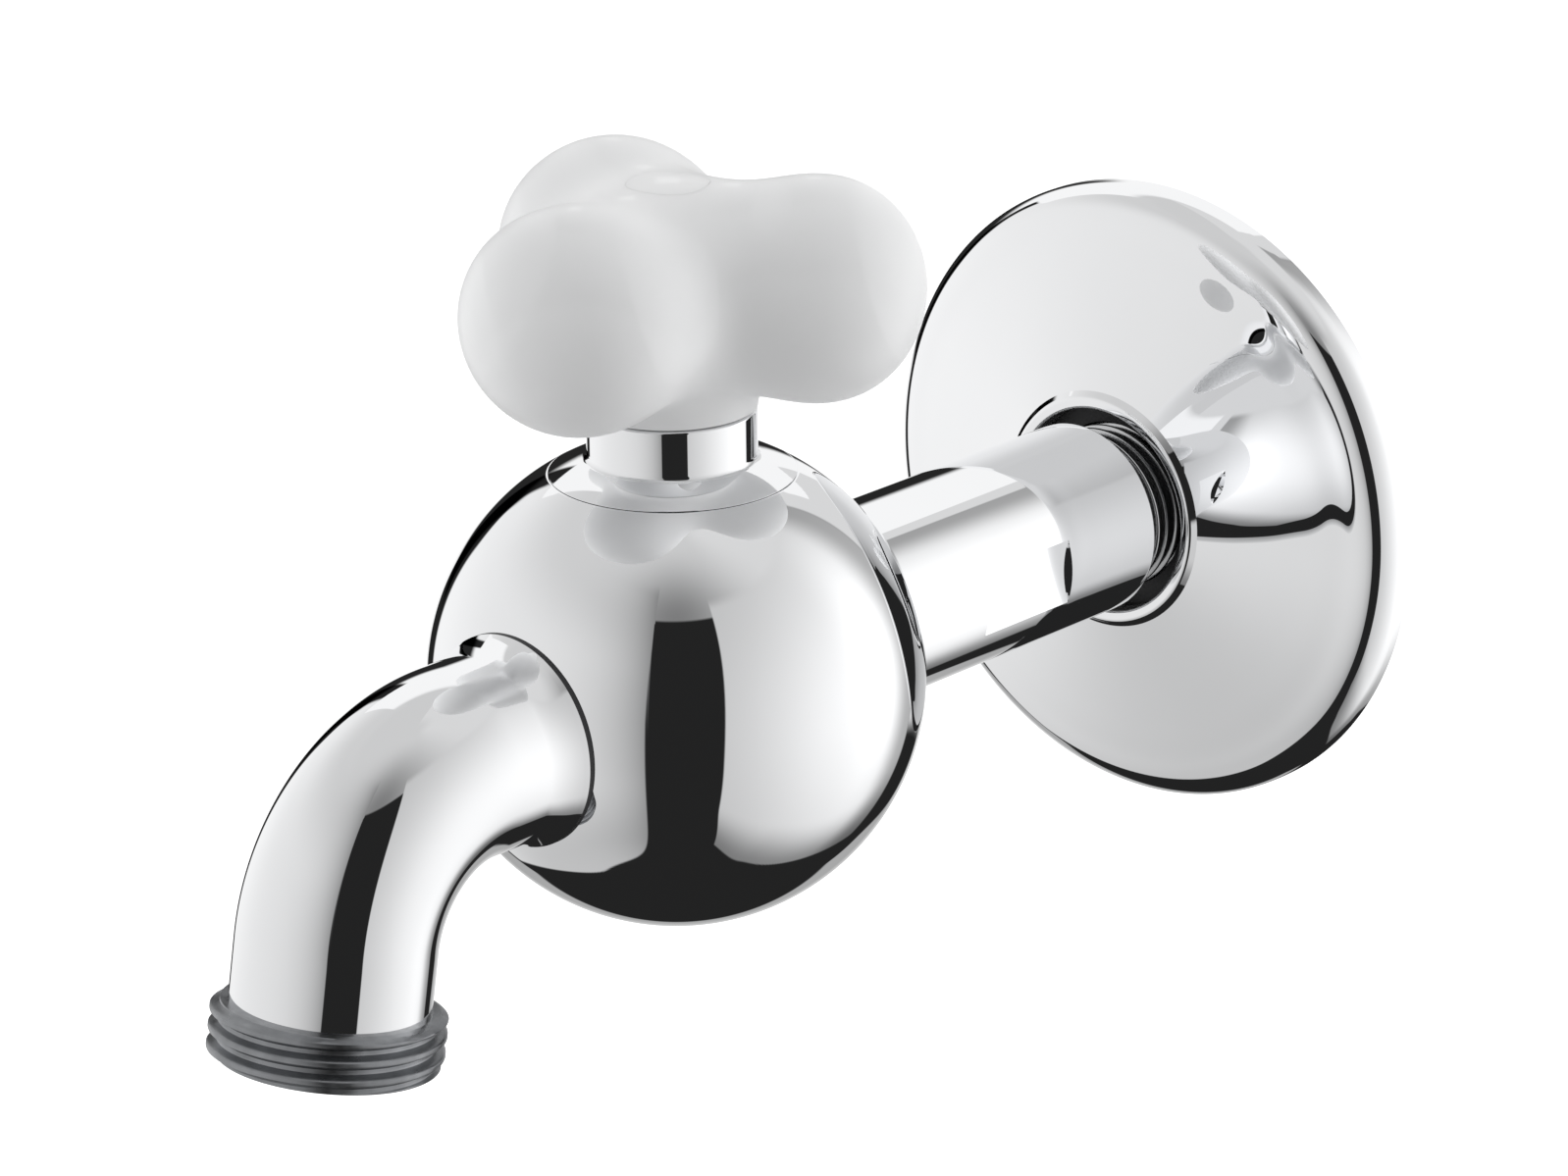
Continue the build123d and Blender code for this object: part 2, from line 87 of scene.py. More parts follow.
class TapSizes(bpy.types.PropertyGroup):
    """Sizes of the tap's seen surfaces"""

    columns: IntProperty(name="Columns", description="Faces around a turned surface", default=192, min=48)
    ball_radius: length("Ball radius", "Radius of the ball", BODY_HIGH.x / MM)
    seam_radius: length("Seam radius", "Radius of the seam under the bonnet", 14.7)
    seam_gap: length("Seam gap", "Width of the fine groove at the seam", 0.045)
    neck_radius: length("Neck radius", "Radius of the bonnet's neck", 10.0)
    neck_top: length("Neck top", "Height of its top above the ball's centre", 33.65)
    gland_radius: length("Gland radius", "Radius of the hole for the gland nut", 7.2)
    shank_radius: length("Shank radius", "Radius of the shank", 12.4)
    shank_end: length("Shank end", "From the ball's centre to the shank's end", 74.6)
    flats_across: length("Across flats", "Distance between the two wrench flats", 23.4)
    flats_start: length("Flats start", "From the ball's centre to the flats", 42.3)
    flats_end: length("Flats end", "From the ball's centre to their end", 58.1)
    inlet_end: length("Inlet end", "From the ball's centre to the thread's end", (BODY_HIGH.y - BALL_Y) / MM)
    inlet_radius: length("Inlet thread radius", "Crest radius of the inlet thread", 10.67)
    inlet_pitch: length("Inlet pitch", "Pitch of the inlet thread", 1.814)
    inlet_bore: length("Inlet bore", "Radius of the inlet's bore", 6.5)
    handle_middle: length("Handle middle", "Height of its middle above the ball's centre", 48.2)
    handle_bottom: length("Handle bottom", "Height of its base above the ball's centre", 33.85)
    handle_turn: turn("Handle turn", "Angle of the first lobe", 36)
    lobe_offset: length("Lobe offset", "From the handle's axis to a lobe's middle", 18.42)
    lobe_long: length("Lobe reach", "Half size of a lobe outwards", 11.12)
    lobe_wide: length("Lobe width", "Half size of a lobe sideways", 12.93)
    lobe_tall: length("Lobe height", "Half size of a lobe upwards", 12.38)
    hub_wide: length("Hub width", "Half size of the hub sideways", 10.53)
    hub_tall: length("Hub height", "Half size of the hub upwards", 10.05)
    lobe_blend: length("Lobe blend", "Softness of the valleys between the lobes", 5.2)
    insert_radius: length("Insert radius", "Radius of the hole for the metal insert", 5.6)
    insert_top: length("Insert top", "Height of its top above the ball's centre", 46.7)
    cap_radius: length("Cap radius", "Radius of the cap over the screw", 5.0)
    tube_radius: length("Tube radius", "Outer radius of the spout tube", 11.5)
    tube_bore: length("Tube bore", "Inner radius of the spout tube", 9.3)
    tube_root: length("Tube root", "From the ball's centre to the tube", 32.23)
    tube_straight: length("Straight part", "Length of the tube before its bend", 4.2)
    bend_radius: length("Bend radius", "Radius of the bend's centre line", 19.35)
    nose_tilt: turn("Nose tilt", "How far the nose leans out from straight down", 10.5)
    tube_end: length("End length", "Length of the tube after its bend", 7.3)
    collar_radius: length("Collar radius", "Widest radius of the flare at the spout's root", 12.7)
    collar_gap: length("Collar gap", "From the ball to the flare's edge", 0.1)
    # The land behind the flare carries painted shade for the gap to the ball.
    collar_land: length("Collar land", "Width of the dark land behind the flare", 0.7)
    nose_radius: length("Nose thread radius", "Crest radius of the hose thread", 13.45)
    nose_pitch: length("Nose pitch", "Pitch of the hose thread", 2.209)
    nose_depth: length("Nose thread depth", "Depth of the hose thread", 1.1)
    nose_length: length("Nose length", "Length of the threaded nose", 6.49)
    nose_bore: length("Nose bore", "Inner radius of the nose", 8.4)
    spigot_bore: length("Spigot bore", "Inner radius of the nose's spigot", 7.9)
    flange_radius: length("Flange radius", "Outer radius of the wall flange", FLANGE_HIGH.x / MM)
    flange_front: length("Flange front", "From the ball's centre to its lip", (FLANGE_LOW.y - BALL_Y) / MM)
    flange_sheet: length("Sheet", "Thickness of the flange's sheet", 0.9)


class TapColours(bpy.types.PropertyGroup):
    """Colours of the tap's finishes"""

    chrome: tint("Chrome", "Polished chrome plate", (0.965, 0.97, 0.98))
    # Painted shade: a dark colour that stands in for the shade in recesses and in the gaps between parts.
    unplated: tint("Painted shade", "Shade painted in recesses and gaps", (0.02, 0.02, 0.022))
    satin: tint("Satin metal", "Duller plate of the nose", (0.36, 0.37, 0.385))
    brass: tint("Brass", "Machined brass", (0.78, 0.57, 0.27))
    rubber: tint("Rubber", "Seals and packing", (0.022, 0.022, 0.024))
    fibre: tint("Fibre", "Pressed fibre gasket", (0.20, 0.12, 0.07))
    foam: tint("Foam", "Pad behind the flange", (0.74, 0.74, 0.72))
    resin: tint("Resin", "Milky resin of the handle", (0.965, 0.97, 0.975))
    steel: tint("Steel", "Screw and spring ring", (0.56, 0.56, 0.58))


class TapStudio(bpy.types.PropertyGroup):
    """Camera, light and floor"""

    azimuth: turn("Azimuth", "Camera's direction round the tap", 42.8)
    elevation: turn("Elevation", "Camera's height above the horizon", 20.2)
    roll: turn("Roll", "Camera's roll", -0.6)
    distance: length("Distance", "From the camera to the ball along the view", 636.6)
    lens: FloatProperty(name="Lens", description="Focal length", default=123.905, unit="CAMERA")
    aim_x: plain("Aim right", "Ball's place right of the middle, as a share of the distance", -0.019945)
    aim_y: plain("Aim up", "Ball's place above the middle, as a share of the distance", -0.016309)
    tent_radius: length("Tent radius", "Radius of the light tent", 320)
    floor_level: length("Floor level", "Height of the floor", -335)
    floor_colour: tint("Floor", "Pale floor", (0.86, 0.86, 0.86))
    dark: plain("Dark gap", "Brightness of the gaps between the panels", 0.017)


def sizes():
    return bpy.context.scene.tap_sizes


def studio():
    return bpy.context.scene.tap_studio


# Outlines and grids

def smooth(low, high, x):
    """Rises from 0 to 1 between two values, with level ends."""
    t = np.clip((x - low) / (high - low), 0.0, 1.0)
    return t * t * (3.0 - 2.0 * t)


def outline(corners):
    """Points of an outline whose corners are arcs.

    Each corner is (radius, level) or (radius, level, roundness). The arc of a corner touches both its
    sides, and one point a little off each end of the arc keeps the faces beside it flat.
    """
    points = []
    count = len(corners)
    for i, corner in enumerate(corners):
        here = np.array(corner[:2], float)
        size = corner[2] if len(corner) > 2 else 0.0
        if size <= 0.0 or i in (0, count - 1):
            points.append(here)
            continue
        back = np.array(corners[i - 1][:2], float) - here
        ahead = np.array(corners[i + 1][:2], float) - here
        room_back, room_ahead = np.linalg.norm(back), np.linalg.norm(ahead)
        back, ahead = back / room_back, ahead / room_ahead
        half = np.arccos(np.clip(back @ ahead, -1, 1)) / 2
        reach = min(size / np.tan(half), 0.49 * room_back, 0.49 * room_ahead)
        size = reach * np.tan(half)
        middle = here + (back + ahead) / np.linalg.norm(back + ahead) * size / np.sin(half)
        first, last = here + back * reach, here + ahead * reach
        sweep = np.pi - 2 * half
        steps = max(3, int(np.ceil(sweep / radians(9))) + 1)
        share = np.linspace(0, 1, steps)[:, None]
        ray = np.sin((1 - share) * sweep) * (first - middle) + np.sin(share * sweep) * (last - middle)
        guard = min(0.06 * MM, 0.4 * (0.5 * min(room_back, room_ahead) - reach) + 1e-9)
        points += [first + back * guard, *(middle + ray / np.sin(sweep)), last + ahead * guard]
    return np.array(points)


def sphere_outline(radius, top, bottom, count):
    """Points of a circle about the centre: its radius times the sine and the cosine of each polar angle."""
    polar = np.linspace(top, bottom, count)
    return np.stack([radius * np.sin(polar), radius * np.cos(polar)], axis=1)


def ring_round(across, along, angle):
    """Unit directions round an axis: cosine of the angle times the first one plus sine times the second.

    The second direction is the axis crossed with the first.
    """
    return np.cos(angle)[:, None] * np.array(across) + np.sin(angle)[:, None] * np.cross(along, across)


def turned(profile, origin, across, along, columns):
    """Grid of a turned surface: a row for each profile point, a column for each angle.

    A point lies at origin + level times the axis + radius times the direction at its angle.
    """
    ring = ring_round(across, along, np.linspace(0, 2 * np.pi, columns, endpoint=False))
    radius, level = profile[:, 0], profile[:, 1]
    return origin + radius[:, None, None] * ring + (level[:, None] * np.array(along))[:, None, :]


def upright(profile):
    """Turned about the handle's upright axis: radius and height above the ball's centre."""
    return turned(profile, BALL_CENTRE, (1, 0, 0), (0, 0, 1), sizes().columns)


def level_with_inlet(profile, columns):
    """Turned about the inlet's axis: radius and distance from the ball's centre towards the wall."""
    return turned(profile, BALL_CENTRE, (0, 0, 1), (0, 1, 0), columns)


def outward(points, faces):
    """The faces turned to point outwards: then the sum of all their corners' triple products is positive."""
    a, b, c, d = (points[faces[:, k]] - points.mean(0) for k in range(4))
    volume = np.einsum("ij,ij->i", a, np.cross(b, c)) + np.einsum("ij,ij->i", a, np.cross(c, d))
    return faces[:, ::-1] if volume.sum() < 0 else faces


def ring_faces(rows, columns, loop=False):
    """Four-cornered faces of a grid whose columns close into a ring, and its rows too if loop is true."""
    index = np.arange(rows * columns).reshape(rows, columns)
    upper = np.roll(index, -1, 0) if loop else index[1:]
    lower = index if loop else index[:-1]
    return np.stack([lower, np.roll(lower, -1, 1), np.roll(upper, -1, 1), upper], axis=-1).reshape(-1, 4)


def quads(grid, loop):
    """Points and faces of a grid that closes into a ring."""
    points = grid.reshape(-1, 3)
    return points, outward(points, ring_faces(*grid.shape[:2], loop))


def helix_quads(grid):
    """Points and faces of a helical grid whose last column meets the first one a pitch further on."""
    rows, columns = grid.shape[:2]
    points = grid.reshape(-1, 3)
    faces = ring_faces(rows, columns).reshape(rows - 1, columns, 4)[:, :-1]
    return points, outward(points, faces.reshape(-1, 4))


def welded(points, faces, mesh):
    """Puts points and faces in front of what a mesh already holds, with those that lie together made one."""
    raw = bpy.data.meshes.new("raw")
    raw.from_pydata(points.tolist(), [], faces.tolist())
    work = bmesh.new()
    work.from_mesh(raw)
    bmesh.ops.remove_doubles(work, verts=work.verts, dist=WELD)
    bmesh.ops.dissolve_degenerate(work, edges=work.edges, dist=WELD / 5)
    work.from_mesh(mesh)
    work.to_mesh(mesh)
    work.free()
    bpy.data.meshes.remove(raw)


def piece(name, shells, sharp=12.0, helix=None):
    """One mesh object of closed shells, each a (grid, loop) pair, shaded smooth up to an edge angle.

    A helical grid is welded by itself, so that it stays a closed shell.
    """
    points, faces, start = [], [], 0
    for grid, loop in shells:
        p, f = quads(grid, loop)
        points.append(p)
        faces.append(f + start)
        start += len(p)
    mesh = bpy.data.meshes.new(name)
    welded(np.concatenate(points), np.concatenate(faces), mesh)
    if helix is not None:
        welded(*helix_quads(helix), mesh)
    mesh.shade_smooth()
    mesh.set_sharp_from_angle(angle=radians(sharp))
    mesh.update()
    return added(name, mesh)


def added(name, data):
    """A new object in the scene."""
    made = bpy.data.objects.new(name, data)
    bpy.context.scene.collection.objects.link(made)
    return made


def mark_unplated(made, share):
    """Marks how much painted shade each point gets: the dark colour that stands in for shade in recesses and
    gaps.
    """
    points = np.zeros(len(made.data.vertices) * 3)
    made.data.vertices.foreach_get("co", points)
    x, y, z = points.reshape(-1, 3).T
    mark = made.data.attributes.new("unplated", "FLOAT", "POINT")
    mark.data.foreach_set("value", share(np.hypot(x, z), y - BALL_Y).astype(np.float32))


def seat(made, body, maker, *nodes):
    """Gives a piece its finish and its body, and hides the CAD nodes that it stands for."""
    made.data.materials.append(finish(maker))
    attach(made, body)
    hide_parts(*nodes)


# Finishes

def fill(socket, given):
    """Sets an input to a value, or links it to the output of another node."""
    if isinstance(given, bpy.types.NodeSocket):
        socket.id_data.links.new(given, socket)
    else:
        socket.default_value = given


def feed(node, **inputs):
    """Fills the named inputs of a node. An underscore in a name stands for a space."""
    for key, given in inputs.items():
        fill(node.inputs[key.replace("_", " ")], given)
    return node


def new_node(tree, kind, **inputs):
    """A new shader node with its inputs filled."""
    return feed(tree.nodes.new("ShaderNode" + kind), **inputs)


def new_material(name):
    """A new material with its node tree and its output."""
    made = bpy.data.materials.new(name)
    made.use_nodes = True
    tree = made.node_tree
    tree.nodes.clear()
    return made, tree, new_node(tree, "OutputMaterial")


def blank(name, metallic=0.0):
    """A new finish with its shader and an Object coordinate."""
    made, tree, out = new_material("tap_" + name)
    shader = new_node(tree, "BsdfPrincipled", Metallic=metallic)
    feed(out, Surface=shader.outputs["BSDF"])
    return made, shader, new_node(tree, "TexCoord").outputs["Object"]


def kept_value(tree, name):
    """The value that a mesh keeps in its points under a name."""
    node = new_node(tree, "Attribute")
    node.attribute_name = name
    return node.outputs["Fac"]


def grain(place, scale, detail=4.0, rough=0.55, stretch=None):
    """Noise at a scale per metre, between 0 and 1."""
    tree = place.id_data
    if stretch:
        place = new_node(tree, "Mapping", Scale=stretch, Vector=place).outputs["Vector"]
    noise = new_node(tree, "TexNoise", Scale=scale, Detail=detail, Roughness=rough, Vector=place)
    return noise.outputs["Fac"]


def ranged(value, low, high, start=0.3, end=0.7):
    """Moves a value from one range into another."""
    span = dict(From_Min=start, From_Max=end, To_Min=low, To_Max=high)
    return new_node(value.id_data, "MapRange", Value=value, **span).outputs["Result"]


def mixed(factor, first, second):
    """Blend of two colours by a factor between 0 and 1."""
    node = new_node(factor.id_data, "Mix", Factor=factor)
    node.data_type = "RGBA"
    for key, colour in (("A", first), ("B", second)):
        fill(next(s for s in node.inputs if s.name == key and s.type == "RGBA"), colour)
    return next(s for s in node.outputs if s.type == "RGBA")


def tone(name, factor=1.0):
    """A named colour, made darker or paler by a factor, with its alpha."""
    return (*(min(1.0, c * factor) for c in getattr(bpy.context.scene.tap_colours, name)), 1.0)


def painted(shader, factor, first, second):
    """Base colour between two colours."""
    feed(shader, Base_Color=mixed(factor, first, second))


def dulled(shader, value, low, high):
    """Roughness between two values."""
    feed(shader, Roughness=ranged(value, low, high))


def bumped(shader, height, distance, strength=1.0):
    """Small relief from a height value, over a real distance."""
    node = new_node(shader.id_data, "Bump", Strength=strength, Distance=distance, Height=height)
    feed(shader, Normal=node.outputs["Normal"])


def polished_chrome():
    """Bright plate with a faint haze and a slow waviness from the polishing wheel; painted shade in recesses
    and gaps, dark, duller and less metallic.
    """
    made, shader, place = blank("polished_chrome")
    haze = ranged(grain(place, 55.0, 5.0), 0.0, 1.0)
    plate = mixed(haze, tone("chrome", 0.985), tone("chrome"))
    # Share of painted shade: it darkens the plate and makes it duller and less metallic.
    raw = kept_value(shader.id_data, "unplated")
    painted(shader, raw, plate, tone("unplated"))
    gloss = ranged(grain(place, 140.0, 6.0), 0.0, 0.012)
    feed(shader, Roughness=mixed(raw, gloss, (0.5, 0.5, 0.5, 1.0)))
    bumped(shader, grain(place, 90.0, 2.0, 0.4), 0.002 * MM, 0.5)
    feed(shader, Metallic=ranged(raw, 1.0, 0.0, 0.4, 1.0))
    return made


def satin_metal():
    """Duller plate of the nose, with fine turning marks and small stains."""
    made, shader, place = blank("satin_metal", metallic=1.0)
    stain = ranged(grain(place, 260.0, 6.0), 0.0, 1.0)
    painted(shader, stain, tone("satin", 0.72), tone("satin"))
    dulled(shader, grain(place, 500.0), 0.26, 0.42)
    bumped(shader, grain(place, 1800.0, 3.0, 0.6), 0.012 * MM, 0.5)
    return made


def frosted_resin():
    """Milky resin with a satin skin: light goes in and scatters, with faint clouds inside, painted shade
    where the skin faces the view and a painted rim light towards the outline.
    """
    made, shader, place = blank("frosted_resin")
    cloud = ranged(grain(place, 60.0, 3.0), 0.0, 1.0)
    cloud_and_painted_shade = mixed(cloud, tone("resin", 0.85), tone("resin", 0.88))
    # Painted rim light and shade: the base colour goes from the darker clouded colour where the skin faces
    # the view to the full resin colour at the outline.
    rim = new_node(shader.id_data, "LayerWeight", Blend=0.42)
    painted(shader, rim.outputs["Facing"], cloud_and_painted_shade, tone("resin"))
    dulled(shader, grain(place, 900.0, 3.0), 0.36, 0.44)
    bumped(shader, grain(place, 3500.0, 2.0), 0.006 * MM, 0.4)
    feed(shader, IOR=1.49, Subsurface_Weight=0.3, Subsurface_Scale=1.0 * MM)
    feed(shader, Subsurface_Radius=(1.0, 1.0, 1.0))
    return made


def raw_brass():
    """Machined brass with turning marks and darker stains."""
    made, shader, place = blank("raw_brass", metallic=1.0)
    stain = ranged(grain(place, 220.0, 5.0), 0.0, 1.0)
    painted(shader, stain, tone("brass", 0.7), tone("brass"))
    dulled(shader, grain(place, 700.0), 0.22, 0.4)
    bumped(shader, grain(place, 2500.0, 2.0, 0.5, (1.0, 1.0, 4.0)), 0.01 * MM, 0.6)
    return made


def black_rubber():
    """Soft matt rubber with a dusty bloom."""
    made, shader, place = blank("black_rubber")
    dust = ranged(grain(place, 300.0, 6.0), 0.0, 1.0)
    painted(shader, dust, tone("rubber"), tone("rubber", 2.4))
    dulled(shader, grain(place, 900.0), 0.55, 0.8)
    bumped(shader, grain(place, 4000.0), 0.03 * MM)
    return made


def pressed_fibre():
    """Pressed fibre with flecks."""
    made, shader, place = blank("pressed_fibre")
    fleck = ranged(grain(place, 2600.0, 8.0, 0.7), 0.0, 1.0)
    painted(shader, fleck, tone("fibre"), tone("fibre", 1.9))
    dulled(shader, grain(place, 1500.0), 0.7, 0.9)
    bumped(shader, fleck, 0.04 * MM)
    return made


def closed_foam():
    """Closed-cell foam: small round cells pressed into a pale skin, with painted shade in the cells'
    hollows.
    """
    made, shader, place = blank("closed_foam")
    cells = new_node(place.id_data, "TexVoronoi", Scale=1500.0, Vector=place)
    hollow = ranged(cells.outputs["Distance"], 0.0, 1.0, 0.0, 0.6)
    # Painted shade: the colour darkens towards each cell's middle, where the bump sinks deepest.
    painted(shader, hollow, tone("foam", 0.8), tone("foam"))
    dulled(shader, grain(place, 800.0), 0.75, 0.95)
    bumped(shader, hollow, 0.12 * MM)
    return made


def spring_steel():
    """Bright steel with fine drawing marks."""
    made, shader, place = blank("spring_steel", metallic=1.0)
    mark = ranged(grain(place, 800.0, 5.0), 0.0, 1.0)
    painted(shader, mark, tone("steel", 0.75), tone("steel"))
    feed(shader, Roughness=ranged(mark, 0.2, 0.38, 0.0, 1.0))
    bumped(shader, grain(place, 3000.0), 0.01 * MM)
    return made


def finish(maker):
    """The material of a finish, made once."""
    return bpy.data.materials.get("tap_" + maker.__name__) or maker()


# Shapes

def ball_shell():
    """The ball turned about the upright axis, from the flat under the bonnet round to its lowest point."""
    s = sizes()
    top = sqrt(s.ball_radius**2 - s.seam_radius**2) - s.seam_gap / 2
    skin = sphere_outline(s.ball_radius, np.arccos(top / s.ball_radius), np.pi, 121)
    ledge = s.seam_radius - 2.4 * MM
    rim = outline([(0.0, top), (ledge, top), (*skin[0], SEAM_EDGE), tuple(skin[1]), tuple(skin[2])])
    profile = np.concatenate([rim[:-1], skin[2:]])
    profile[-1, 0] = 0.0
    return upright(profile), False


def shank_shell():
    """The shank about the inlet's axis, with the waterway's outer end as a stepped hole.

    Where it has flats its radius is the smaller of the round radius and half the distance across the
    flats over the size of the sine of the angle. A flat ends in a steep shoulder, and a row of points
    close to each side of the shoulder keeps the shading beside it flat.
    """
    s = sizes()
    root, edge = 20 * MM, 0.45 * MM
    hole_radius, hole_end, bore_end = 6.0 * MM, 21 * MM, 32 * MM
    shoulder, guard = 0.04 * MM, 0.04 * MM
    half = s.flats_across / 2
    corner = np.arcsin(half / s.shank_radius)
    spans = [(-corner, corner, 72), (corner, np.pi - corner, 24), (np.pi - corner, np.pi + corner, 72),
             (np.pi + corner, 2 * np.pi - corner, 24)]
    angle = np.concatenate([np.linspace(a, b, n, endpoint=False) for a, b, n in spans])
    outer = outline([(0, root), (s.shank_radius, root), (s.shank_radius, s.shank_end, edge),
                     (s.inlet_radius - 2 * MM, s.shank_end)])
    start, end = s.flats_start, s.flats_end
    levels = [start - guard, start, start + shoulder, start + shoulder + guard,
              end - shoulder - guard, end - shoulder, end, end + guard]
    cuts = (0, 0, 1, 1, 1, 1, 0, 0)
    rows = [(r, y, 0.0) for r, y in outer[:2]] + [(s.shank_radius, y, c) for y, c in zip(levels, cuts)]
    rows += [(r, y, 0.0) for r, y in outer[2:]]
    rows += [(s.inlet_bore, s.shank_end, 0.0), (s.inlet_bore, bore_end, 0.0), (hole_radius, bore_end, 0.0),
             (hole_radius, hole_end, 0.0), (0.0, hole_end, 0.0)]
    radius, level, flat = np.array(rows).T
    planed = np.minimum(s.shank_radius, half / np.maximum(np.abs(np.sin(angle)), 1e-6))
    depth = s.shank_radius - planed
    radii = radius[:, None] - flat[:, None] * depth[None, :]
    ring = np.stack([np.sin(angle), np.zeros_like(angle), np.cos(angle)], axis=1)
    along = level[:, None, None] * np.array([0, 1.0, 0])
    return BALL_CENTRE + radii[..., None] * ring + along, False


def threaded(origin, across, along, start, end, radius, depth, pitch, phase, taper, inner, columns):
    """Helical grid of a right-handed thread with its bore.

    Rows follow the helix: a point of row i lies at its offset plus the pitch times the turn, held
    between the two ends. The radius is the root plus the depth times a smooth ridge of the place
    within one pitch, lowered near both ends by the taper.
    """
    per_turn = 18
    turns = (end - start) / pitch
    offset = start - pitch + np.arange(int(np.ceil((turns + 2) * per_turn)) + 1) * pitch / per_turn
    angle = np.linspace(0, 2 * np.pi, columns + 1)
    level = np.clip(offset[:, None] + pitch * angle[None, :] / (2 * np.pi), start, end)
    place = (level - phase - pitch * angle[None, :] / (2 * np.pi)) / pitch
    ridge = smooth(0.18, 0.82, 1 - 2 * np.abs(place - np.round(place)))
    near = smooth(start - 0.35 * taper, start + taper, level)
    far = smooth(end + 0.35 * taper, end - taper, level)
    r = radius - depth + depth * ridge * np.minimum(near, far)
    ring = ring_round(across, along, angle)
    outer = origin + r[..., None] * ring + level[..., None] * np.array(along)
    ends = [origin + inner * ring + np.multiply(y, along) for y in (end, start)]
    return np.concatenate([outer, ends, outer[:1]])


class TAP_OT_body(bpy.types.Operator):
    """Make the ball and the shank with its flats and inlet thread"""
    bl_idname = "garden_tap.make_body"
    bl_label = "Ball and shank"

    def execute(self, context):
        s = sizes()
        depth, taper, columns = 1.15 * MM, 0.9 * MM, 144
        phase = s.shank_end + 0.35 * s.inlet_pitch
        thread = threaded(BALL_CENTRE, (0, 0, 1), (0, 1, 0), s.shank_end, s.inlet_end, s.inlet_radius, depth,
                          s.inlet_pitch, phase, taper, s.inlet_bore, columns)
        made = piece("ball_and_shank", [ball_shell(), shank_shell()], helix=thread)
        past_shank, past_crest = s.shank_end + 0.02 * MM, s.inlet_radius + 0.1 * MM
        # Painted shade, at 0.35 of full strength, on the thread and bore inside the flange's recess.
        mark_unplated(made, lambda r, y: 0.35 * (y > past_shank) * (r < past_crest))
        seat(made, "body", polished_chrome, "valve_body")
        return {"FINISHED"}


class TAP_OT_bonnet(bpy.types.Operator):
    """Make the domed bonnet and its neck"""
    bl_idname = "garden_tap.make_bonnet"
    bl_label = "Bonnet"

    def execute(self, context):
        s = sizes()
        bore_edge, top_edge, neck_fillet = 0.25 * MM, 0.35 * MM, 0.9 * MM
        seam = sqrt(s.ball_radius**2 - s.seam_radius**2) + s.seam_gap / 2
        foot = sqrt(s.ball_radius**2 - s.neck_radius**2)
        inside, under = s.seam_radius - 0.9 * MM, seam - s.seam_gap
        top, bottom = np.arccos(foot / s.ball_radius), np.arccos(seam / s.ball_radius)
        dome = sphere_outline(s.ball_radius, top, bottom, 16)
        upper = outline([(s.gland_radius, under), (s.gland_radius, s.neck_top, bore_edge),
                         (s.neck_radius, s.neck_top, top_edge), (s.neck_radius, foot, neck_fillet),
                         tuple(dome[3]), tuple(dome[4])])[:-1]
        lower = outline([tuple(dome[-3]), tuple(dome[-2]), (*dome[-1], SEAM_EDGE), (inside, seam),
                         (inside, under)])
        profile = np.concatenate([upper, dome[4:-3], lower])
        made = piece("domed_bonnet", [(upright(profile), True)])
        seat(made, "body", polished_chrome, "bonnet")
        return {"FINISHED"}


def ellipsoid(offset, half):
    """Field n(n-1)/g: n is the stretched distance from the middle, g the length of its gradient."""
    share = [o / h for o, h in zip(offset, half)]
    n = np.sqrt(sum(x * x for x in share)) + 1e-9
    g = np.sqrt(sum((x / h)**2 for x, h in zip(share, half))) + 1e-9
    return n * (n - 1) / g


def handle_field(points):
    """Signed size of a point against the handle: below nought inside it.

    Each lobe and the hub has the field of an ellipsoid. The fields are joined by minus blend times the
    logarithm of the sum of exp(-field/blend), and so is the base, whose field is the larger of radius
    minus base radius and the height.
    """
    s = sizes()
    fields = []
    for lobe in range(3):
        a = s.handle_turn + lobe * 2 * np.pi / 3
        out, side = np.array([np.cos(a), np.sin(a), 0]), np.array([-np.sin(a), np.cos(a), 0])
        v = points - out * s.lobe_offset
        fields.append(ellipsoid((v @ out, v @ side, v[..., 2]), (s.lobe_long, s.lobe_wide, s.lobe_tall)))
    across, height = np.hypot(points[..., 0], points[..., 1]), points[..., 2]
    fields.append(ellipsoid((across, height), (s.hub_wide, s.hub_tall)))
    fields = np.stack(fields, axis=-1)
    low = fields.min(-1)
    whole = low - s.lobe_blend * np.log(np.exp(-(fields - low[..., None]) / s.lobe_blend).sum(-1))
    base = np.maximum(across - s.neck_radius, height)
    blend = 0.7 * MM
    low = np.minimum(whole, base)
    return low - blend * np.log(np.exp(-(whole - low) / blend) + np.exp(-(base - low) / blend))


def handle_reach(polar, around):
    """Point of the handle's skin in each direction from its middle, by halving the bracket 40 times."""
    shortest, longest = 4 * MM, 45 * MM
    ray = np.stack([np.sin(polar) * np.cos(around), np.sin(polar) * np.sin(around), np.cos(polar)], axis=-1)
    near, far = np.full(polar.shape, shortest), np.full(polar.shape, longest)
    for _ in range(40):
        middle = (near + far) / 2
        inside = handle_field(ray * middle[..., None]) < 0
        near, far = np.where(inside, middle, near), np.where(inside, far, middle)
    return ray * near[..., None]


def drawn_in(row):
    """A copy of a row of the handle's skin a little lower and narrower, which starts its sharp edge."""
    row = row.copy()
    row[:, 2] -= 0.05 * MM
    row[:, :2] *= 0.999
    return row


